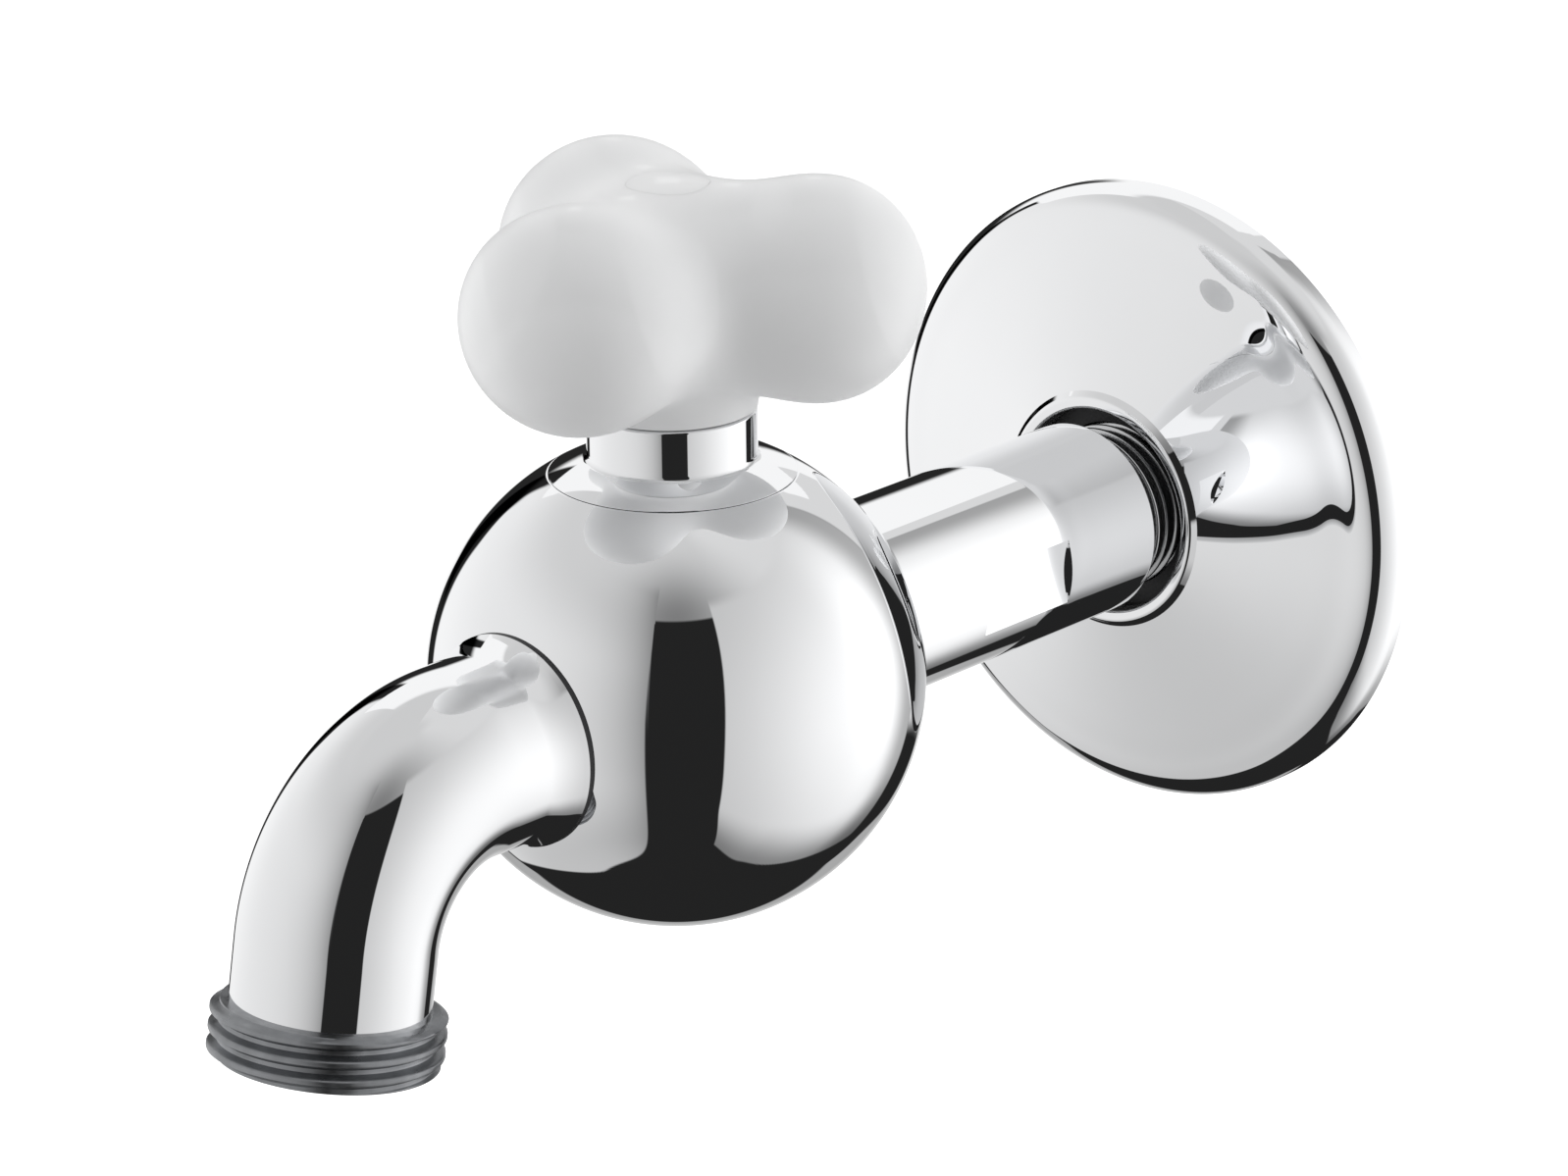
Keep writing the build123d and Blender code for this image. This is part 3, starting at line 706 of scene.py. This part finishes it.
class TAP_OT_handle(bpy.types.Operator):
    """Make the three-lobed handle and the cap over its screw"""
    bl_idname = "garden_tap.make_handle"
    bl_label = "Handle and cap"

    def execute(self, context):
        s = sizes()
        columns = 288
        centre = np.array([0, BALL_Y, s.handle_middle])
        around = np.linspace(0, 2 * np.pi, columns, endpoint=False)
        drop = s.handle_bottom - s.handle_middle
        top = handle_reach(np.zeros((1, 1)), np.zeros((1, 1)))[0, 0, 2]
        floor = top - 3.6 * MM
        first, last = np.arctan2(s.cap_radius, top), np.arctan2(s.neck_radius, drop)
        polar = np.concatenate([np.linspace(first, last - 0.02, 150), np.linspace(last - 0.018, last, 6)])
        skin = handle_reach(*np.meshgrid(polar, around, indexing="ij"))
        skin[..., 2] = np.maximum(skin[..., 2], drop)

        def ring(radius, level):
            x, y = radius * np.cos(around), radius * np.sin(around)
            return np.stack([x, y, np.full(columns, level)], axis=-1)

        hole = [ring(0.0, floor), ring(s.cap_radius - 0.1 * MM, floor), drawn_in(skin[0])]
        ceiling = s.insert_top - s.handle_middle
        socket = outline([(s.neck_radius - 0.6 * MM, drop), (s.insert_radius, drop, 0.2 * MM),
                          (s.insert_radius, ceiling), (0.0, ceiling)])
        grid = np.concatenate([hole, skin, [ring(r, z) for r, z in socket]]) + centre
        made = piece("lobed_handle", [(grid, False)], sharp=40.0)
        seat(made, "spindle", frosted_resin, "handle")

        gap, lift = 0.015 * MM, 0.02 * MM
        crown = handle_reach(*np.meshgrid(np.linspace(0, first - gap / top, 12), around, indexing="ij"))
        edge = [drawn_in(crown[-1]), ring(s.cap_radius - 0.12 * MM, floor + lift), ring(0.0, floor + lift)]
        cap = piece("screw_cap_disc", [(np.concatenate([crown, edge]) + centre, False)], sharp=40.0)
        seat(cap, "spindle", frosted_resin, "screw_cap")
        return {"FINISHED"}


def spout_line():
    """Points of the spout's centre line, a straight run, an arc and a straight run, and its fall at each."""
    s = sizes()
    bend = np.pi / 2 - s.nose_tilt
    start, middle = s.tube_root - 0.6 * MM, s.tube_root + s.tube_straight
    root = np.array([[start, 0.0], [s.tube_root + 0.5 * s.tube_straight, 0.0]])
    phi = np.linspace(0, bend, 60)
    arc = np.stack([middle + s.bend_radius * np.sin(phi), -s.bend_radius * (1 - np.cos(phi))], axis=1)
    way = np.array([np.cos(bend), -np.sin(bend)])
    tail = arc[-1] + np.array([[0.5], [1.0]]) * s.tube_end * way
    out = np.concatenate([root, arc, tail])
    heading = np.concatenate([[0, 0], phi, [bend, bend]])
    points = np.stack([np.zeros(len(out)), BALL_Y - out[:, 0], out[:, 1]], axis=1)
    return points, heading


class TAP_OT_spout(bpy.types.Operator):
    """Make the bent tube and the flare at its root.

    The flare is an arc turned about the spout's axis: its radius is the tube's plus the arc's radius
    times one less the cosine of the angle along it.
    """
    bl_idname = "garden_tap.make_spout"
    bl_label = "Spout tube and flare"

    def execute(self, context):
        s = sizes()
        points, heading = spout_line()
        angle = np.linspace(0, 2 * np.pi, s.columns, endpoint=False)
        normal = np.stack([np.zeros_like(heading), -np.sin(heading), np.cos(heading)], axis=1)
        side = np.array([1.0, 0, 0])
        ring = np.cos(angle)[None, :, None] * side + np.sin(angle)[None, :, None] * normal[:, None, :]
        outer = points[:, None, :] + s.tube_radius * ring
        inner = points[:, None, :] + s.tube_bore * ring
        tube = piece("spout_bend", [(np.concatenate([outer, inner[::-1]]), True)])
        seat(tube, "spout", polished_chrome, "spout_tube")

        back = -sqrt(s.ball_radius**2 - s.collar_radius**2) - s.collar_gap
        edge = back - s.collar_land
        inside = s.tube_radius - 0.6 * MM
        rise, run = s.collar_radius - s.tube_radius, s.tube_root + edge
        arc = (rise**2 + run**2) / (2 * rise)
        phi = np.append(np.linspace(0.0, 0.88, 24), 1.0) * np.arcsin(run / arc)
        flare = np.stack([s.tube_radius + arc * (1 - np.cos(phi)), arc * np.sin(phi) - s.tube_root], axis=1)
        corners = [(inside, -s.tube_root), *map(tuple, flare), (s.collar_radius, edge + 0.03 * MM),
                   (s.collar_radius, back), (inside, back)]
        collar = piece("spout_root_flare", [(level_with_inlet(outline(corners), s.columns), True)])
        # Painted shade on the land behind the flare, for the gap between the flare and the ball.
        mark_unplated(collar, lambda r, y: 1.0 * (y > edge + 0.01 * MM))
        seat(collar, "spout", polished_chrome, "spout_collar")
        return {"FINISHED"}


class TAP_OT_nose(bpy.types.Operator):
    """Make the threaded nose"""
    bl_idname = "garden_tap.make_nose"
    bl_label = "Threaded nose"

    def execute(self, context):
        s = sizes()
        points, heading = spout_line()
        tip, way = points[-1], np.array([0, -np.cos(heading[-1]), -np.sin(heading[-1])])
        crest_turn, first_crest, taper = 137.7 / 360, 1.17 * MM, 0.35 * MM
        phase = first_crest - s.nose_pitch * crest_turn
        thread = threaded(tip, (1, 0, 0), way, 0.0, s.nose_length, s.nose_radius, s.nose_depth, s.nose_pitch,
                          phase, taper, s.nose_bore, s.columns)
        deep, outside = -6 * MM, s.tube_bore - 0.05 * MM
        spigot = outline([(s.spigot_bore, 0.0), (s.spigot_bore, deep), (outside, deep), (outside, 0.0)])
        shell = turned(spigot, tip, (1, 0, 0), way, s.columns)
        made = piece("outlet_nose_thread", [(shell, True)], sharp=25.0, helix=thread)
        seat(made, "spout", satin_metal, "outlet_nose")
        return {"FINISHED"}


def spline(knots, values, at):
    """Natural cubic through the values: second derivatives solve the usual three-term equations."""
    n = len(knots)
    h = np.diff(knots)
    system = np.eye(n)
    right = np.zeros(n)
    rows = np.arange(1, n - 1)
    system[rows, rows - 1], system[rows, rows], system[rows, rows + 1] = h[:-1], 2 * (h[:-1] + h[1:]), h[1:]
    right[rows] = 6 * (np.diff(values)[1:] / h[1:] - np.diff(values)[:-1] / h[:-1])
    bend = np.linalg.solve(system, right)
    k = np.clip(np.searchsorted(knots, at, side="right") - 1, 0, n - 2)
    a, b, w = knots[k + 1] - at, at - knots[k], h[k]
    curve = (bend[k] * a**3 + bend[k + 1] * b**3) / (6 * w)
    return curve + (values[k] / w - bend[k] * w / 6) * a + (values[k + 1] / w - bend[k + 1] * w / 6) * b


def flange_face():
    """Front face of the flange's sheet, from the lip to the wall.

    It is a smooth line through points of (radius, distance from the ball's centre): a nearly even cone,
    which steepens towards the rim and ends straight.
    """
    cone = [(15.6, 78.8), (16.94, 79.15), (18.29, 79.502), (21.05, 80.216), (23.86, 80.938), (26.69, 81.658),
            (29.55, 82.38), (32.43, 83.1), (35.31, 83.814), (37.6, 84.377)]
    rim = [(38.9, 84.95), (40.0, 85.95), (40.62, 87.1), (40.8, 88.3)]
    r, y = np.array(cone + rim).T * MM
    chord = np.concatenate([[0], np.cumsum(np.hypot(np.diff(r), np.diff(y)))])
    t = np.linspace(0, chord[-1], 140)
    face = np.stack([spline(chord, r, t), spline(chord, y, t)], axis=1)
    face[:, 0] = np.minimum(face[:, 0], sizes().flange_radius)
    return face


class TAP_OT_flange(bpy.types.Operator):
    """Make the wall flange with its rolled lip"""
    bl_idname = "garden_tap.make_flange"
    bl_label = "Wall flange"

    def execute(self, context):
        s = sizes()
        front, wall = s.flange_front, FLANGE_HIGH.y - BALL_Y
        lip_radius, lip_outside, sheet_start = 13.4 * MM, 14.8 * MM, 16.2 * MM
        hub, groove = 10.82 * MM, 12.72 * MM
        shelf, groove_floor, hub_back = front + 3.6 * MM, front + 4.6 * MM, wall - 1.3 * MM
        face = flange_face()
        slope = np.gradient(face, axis=0)
        slope /= np.linalg.norm(slope, axis=1)[:, None]
        back = face + np.stack([-slope[:, 1], slope[:, 0]], axis=1) * s.flange_sheet
        back = back[back[:, 0] > sheet_start][::-1]
        lip = outline([(lip_radius, shelf), (lip_radius, front, 0.4 * MM), (lip_outside, front, 0.8 * MM),
                       tuple(face[0]), tuple(face[1])])
        rear = [(s.flange_radius, wall), (s.flange_radius - s.flange_sheet, wall)]
        inside = [(back[-1][0], groove_floor), (groove, groove_floor), (groove, hub_back), (hub, hub_back),
                  (hub, shelf)]
        profile = np.concatenate([lip[:-1], face[1:], rear, back, inside])
        made = piece("wall_flange_plate", [(level_with_inlet(profile, 288), True)])
        start, end, recess = front + 2.0 * MM, front + 3.2 * MM, lip_radius + 0.05 * MM
        # Painted shade inside the lip's recess, growing stronger towards the wall.
        mark_unplated(made, lambda r, y: smooth(start, end, y) * (r < recess))
        seat(made, "body", polished_chrome, "wall_flange")
        return {"FINISHED"}


INNER_FINISHES = {
    raw_brass: ("seat_ring", "packing_washer", "gland_nut", "jumper_valve", "washer_nut", "spindle",
                "handle_insert", "spout_tail"),
    pressed_fibre: ("bonnet_gasket",),
    black_rubber: ("gland_packing", "valve_washer", "spout_seal_front", "spout_seal_back"),
    closed_foam: ("flange_pad",),
    spring_steel: ("handle_screw", "snap_ring"),
}


class TAP_OT_inner(bpy.types.Operator):
    """Give the pieces inside the tap their finishes"""
    bl_idname = "garden_tap.finish_inner"
    bl_label = "Inner pieces"

    def execute(self, context):
        for maker, names in INNER_FINISHES.items():
            for name in names:
                node = frame["nodes"][name]
                node.data.materials.clear()
                node.data.materials.append(finish(maker))
        return {"FINISHED"}


# Light tent, with angles in degrees: azimuth to the right of the camera's side, and elevation

LEFT_EDGE = -11.0   # azimuth at which the left panel begins
SOFT = 0.4          # half width of a panel's soft edge


def bell(*offsets):
    """A hill of height 1: e to the power of minus the sum of the squares."""
    return np.exp(-sum(x**2 for x in offsets))


def tent_ceiling(a, e):
    """Grey over the panels, darkest over the gap between them and paler overhead."""
    grey = 0.62 - 0.41 * bell((a - 2) / 38) * (1 - smooth(46, 84, e))
    return grey + 0.08 * smooth(30, 80, a) * (1 - smooth(80, 89, e))


def left_panel(a, e):
    """Brightness and share of the panel left of the gap. Its edge and its lower corner are one hyperbola."""
    curve = 115.0
    reach = np.maximum(LEFT_EDGE - a + 0.03 * np.maximum(e, 0), 1.2)
    glow = 0.27 + 0.53 * (1 - np.exp(-reach / 22)) + 0.14 * bell((a + 140) / 40, (e + 10) / 30)
    glow *= (1 - 0.2 * smooth(20, 52, e)) * (1 - 0.32 * smooth(-25, -60, e))
    above = e + 71.5 - curve / reach - 29 * np.clip((-78 - a) / 72, 0, 1)**1.8
    share = smooth(-SOFT, SOFT, above / np.sqrt(1 + (curve / reach**2)**2))
    share = share * smooth(-146.5, -144.0, a + 6 * smooth(4, 16, e)) * smooth(62, 55, e)
    return glow, share * (a < LEFT_EDGE)


def right_panel(a, e):
    """Brightness and share of the panel right of the gap, whose lower edge sinks between two bends."""
    glow = 0.52 + 0.52 * bell((a - 94) / 55, (e + 8) / 52) + 0.3 * bell((a - 106) / 16, (e - 2) / 34)
    above = e + 68.7 - 8.5 * np.clip((58 - a) / 33, 0, 2)**2 - 22.3 * np.clip((a - 66) / 67, 0, 2)**2.4
    glow *= (0.35 + 0.65 * smooth(0, 20, above)) * (1 - 0.45 * smooth(112, 130, a))
    start = 21.6 + 2.6 * smooth(-20, 44, e) + 3.4 * smooth(-40, -62, e)
    share = smooth(start - SOFT, start + SOFT, a) * smooth(136, 134, a)
    return glow, share * smooth(-SOFT, SOFT, above) * smooth(54, 48, e)


def back_panel(aside, e):
    """Brightness of the pale ground behind the tap, wider at its foot and its top and fading downwards."""
    width = 20.5 + 12 * smooth(-28, -42, e) + 16 * smooth(22, 28, e)
    glow = np.maximum(0.95 - 0.022 * np.hypot(aside, e + 20) * smooth(-15, -30, e), 0.4)
    return glow * smooth(width + 0.8, width - 0.8, aside) * smooth(-48.5, -46.5, e) * smooth(62, 50, e)


def tent_light(a, e):
    """Brightness of the light tent at azimuth a and elevation e.

    Two panels stand either side of a dark gap, under a grey ceiling and over a dark floor. Behind the tap
    lie a pale ground with a dark wedge in it and a fill to its right. Each is a product of soft steps,
    and a panel grows brighter away from the gap.
    """
    dark = studio().dark
    light = dark + (tent_ceiling(a, e) - dark) * smooth(44.6, 45.6, e)
    for panel in (left_panel, right_panel):
        glow, share = panel(a, e)
        light = light + (glow - light) * share
    fill = 0.70 * smooth(133, 136, a) * smooth(-26, -22, e) * smooth(56, 48, e)
    aside = 180 - np.abs(a)
    reach = np.where(a < 0, 32.0, 11.0)
    wedge = 1 - 0.98 * smooth(reach, reach - 3, aside) * smooth(-11, -8, e) * smooth(18, 11, e)
    return np.maximum(np.maximum(light, fill), back_panel(aside, e)) * wedge


def toward(a, e):
    """Direction from the ball at azimuth a and elevation e."""
    s = studio()
    front = np.array([sin(s.azimuth), -cos(s.azimuth), 0])
    side = np.array([cos(s.azimuth), sin(s.azimuth), 0])
    a, e = np.radians(a), np.radians(e)
    ahead, across = np.cos(e) * np.cos(a), np.cos(e) * np.sin(a)
    return ahead[..., None] * front + across[..., None] * side + np.sin(e)[..., None] * UP


def seen_in_ball(ray):
    """Azimuth and elevation in which the ball shows each place of the tent to a far camera.

    The ball mirrors a place where its normal halves the angle between that place and the camera. The
    line from there through the place is drawn on to a wide sphere, and its end gives the two angles.
    """
    wide = 600 * MM
    away = toward(0.0, np.degrees(studio().elevation))
    normal = ray + away
    normal /= np.maximum(np.linalg.norm(normal, axis=-1, keepdims=True), 1e-6)
    foot = sizes().ball_radius * normal
    line = studio().tent_radius * ray - foot
    line /= np.linalg.norm(line, axis=-1, keepdims=True)
    along = (foot * line).sum(-1, keepdims=True)
    reach = np.sqrt(along**2 + wide**2 - sizes().ball_radius**2) - along
    end = (foot + reach * line) / wide
    azimuth = np.arctan2(end @ toward(90.0, 0.0), end @ toward(0.0, 0.0))
    return np.degrees(azimuth), np.degrees(np.arcsin(np.clip(end[..., 2], -1, 1)))


# Stage

LAMP_DISTANCE = 0.55
LAMPS = (   # name, azimuth, elevation, watts, size in metres
    ("key_lamp", -80.0, 32.0, 1.2, 0.5),
    ("fill_lamp", 85.0, 22.0, 1.35, 0.5),
    ("top_lamp", 180.0, 70.0, 0.33, 0.6),
    ("front_lamp", 0.0, -25.0, 0.78, 0.5),
)


def placed(made, x, y, z, spot):
    """Stands a camera or lamp at a spot, with its own axes along three directions."""
    made.matrix_world = Matrix(np.vstack([np.column_stack([x, y, z, spot]), [0, 0, 0, 1]]).tolist())


def seen_ray(tree):
    """1 for camera, glossy and transmission rays, else 0."""
    path = new_node(tree, "LightPath").outputs
    total = path["Is Camera Ray"]
    for key in ("Is Glossy Ray", "Is Transmission Ray"):
        node = new_node(tree, "Math")
        node.operation = "MAXIMUM"
        fill(node.inputs[0], total)
        fill(node.inputs[1], path[key])
        total = node.outputs[0]
    return total


def make_camera():
    """The camera, looking past the ball by the aim and turned about its view by the roll."""
    s = studio()
    away, right = toward(0.0, np.degrees(s.elevation)), toward(90.0, 0.0)
    above = np.cross(away, right)
    right, above = cos(s.roll) * right + sin(s.roll) * above, -sin(s.roll) * right + cos(s.roll) * above
    data = bpy.data.cameras.new("camera")
    data.lens, data.sensor_width = s.lens, 36.0
    data.clip_start, data.clip_end = 0.02, 20.0
    camera = added("camera", data)
    spot = BALL_CENTRE + (away - s.aim_x * right - s.aim_y * above) * s.distance
    placed(camera, right, above, away, spot)
    bpy.context.scene.camera = camera


def make_tent():
    """The light tent: a sphere round the tap that shines by the brightness kept in its points."""
    rows, columns = 361, 1080
    azimuth = np.linspace(-180, 180, columns, endpoint=False)
    e, a = np.meshgrid(np.linspace(90, -90, rows), azimuth, indexing="ij")
    ray = toward(a, e)
    points = (BALL_CENTRE + studio().tent_radius * ray).reshape(-1, 3)
    mesh = bpy.data.meshes.new("light_tent")
    mesh.from_pydata(points.tolist(), [], ring_faces(rows, columns).tolist())
    glow = mesh.attributes.new("glow", "FLOAT", "POINT")
    glow.data.foreach_set("value", tent_light(*seen_in_ball(ray)).reshape(-1).astype(np.float32))
    tent = added("light_tent", mesh)
    tent.visible_camera = False
    tent.visible_shadow = False
    made, tree, out = new_material("tent_light")
    feed(out, Surface=new_node(tree, "Emission", Strength=kept_value(tree, "glow")).outputs[0])
    mesh.materials.append(made)


def make_floor():
    """The pale floor, brighter for the rays that see it, so that it runs into the background."""
    s = studio()
    w, z = 6.0, s.floor_level
    mesh = bpy.data.meshes.new("floor")
    mesh.from_pydata([(-w, -w, z), (w, -w, z), (w, w, z), (-w, w, z)], [], [(0, 1, 2, 3)])
    ground = added("floor", mesh)
    ground.visible_glossy = False
    made, tree, out = new_material("pale_floor")
    diffuse = new_node(tree, "BsdfDiffuse", Color=(*s.floor_colour, 1.0))
    emit = new_node(tree, "Emission", Strength=ranged(seen_ray(tree), 0.0, 0.55, 0.0, 1.0))
    both = new_node(tree, "AddShader")
    fill(both.inputs[0], diffuse.outputs[0])
    fill(both.inputs[1], emit.outputs[0])
    feed(out, Surface=both.outputs[0])
    mesh.materials.append(made)


def make_world():
    """White where it is seen, and a little darker as a light."""
    scene = bpy.context.scene
    scene.world = scene.world or bpy.data.worlds.new("World")
    scene.world.use_nodes = True
    tree = scene.world.node_tree
    tree.nodes.clear()
    glow = ranged(seen_ray(tree), 0.8, 1.0, 0.0, 1.0)
    sky = new_node(tree, "Background", Color=(1, 1, 1, 1), Strength=glow)
    new_node(tree, "OutputWorld", Surface=sky.outputs[0])


def make_lamps():
    """Soft square lamps at one distance from the ball, all facing it."""
    for name, a, e, energy, size in LAMPS:
        ray = toward(a, e)
        lamp = bpy.data.lights.new(name, "AREA")
        lamp.energy, lamp.size = energy, size
        made = added(name, lamp)
        across = np.cross(UP, ray)
        across /= np.linalg.norm(across)
        placed(made, across, np.cross(ray, across), ray, BALL_CENTRE + ray * LAMP_DISTANCE)
        made.visible_glossy = False
        made.visible_camera = False


class TAP_OT_stage(bpy.types.Operator):
    """Make the camera, the light tent, the floor, the world and the lamps"""
    bl_idname = "garden_tap.make_stage"
    bl_label = "Stage and camera"

    def execute(self, context):
        context.scene.view_settings.view_transform = "Standard"
        make_camera()
        make_tent()
        make_floor()
        make_world()
        make_lamps()
        return {"FINISHED"}


class TAP_PT_panel(bpy.types.Panel):
    """Lists the steps that dress the tap"""
    bl_idname = "TAP_PT_panel"
    bl_label = "Garden Tap"
    bl_space_type = "VIEW_3D"
    bl_region_type = "UI"
    bl_category = "Garden Tap"

    def draw(self, context):
        for step in STEPS:
            self.layout.operator(step.bl_idname, text=step.bl_label)


GROUPS = {"tap_sizes": TapSizes, "tap_colours": TapColours, "tap_studio": TapStudio}
STEPS = (TAP_OT_body, TAP_OT_bonnet, TAP_OT_handle, TAP_OT_spout, TAP_OT_nose, TAP_OT_flange, TAP_OT_inner,
         TAP_OT_stage)


def register():
    for cls in (*GROUPS.values(), *STEPS, TAP_PT_panel):
        bpy.utils.register_class(cls)
    for name, group in GROUPS.items():
        setattr(bpy.types.Scene, name, PointerProperty(type=group))


def unregister():
    for name in GROUPS:
        delattr(bpy.types.Scene, name)
    for cls in (TAP_PT_panel, *STEPS, *GROUPS.values()):
        bpy.utils.unregister_class(cls)


def main():
    register()
    for step in STEPS:
        group, name = step.bl_idname.split(".")
        getattr(getattr(bpy.ops, group), name)()


if __name__ == "__main__":
    main()
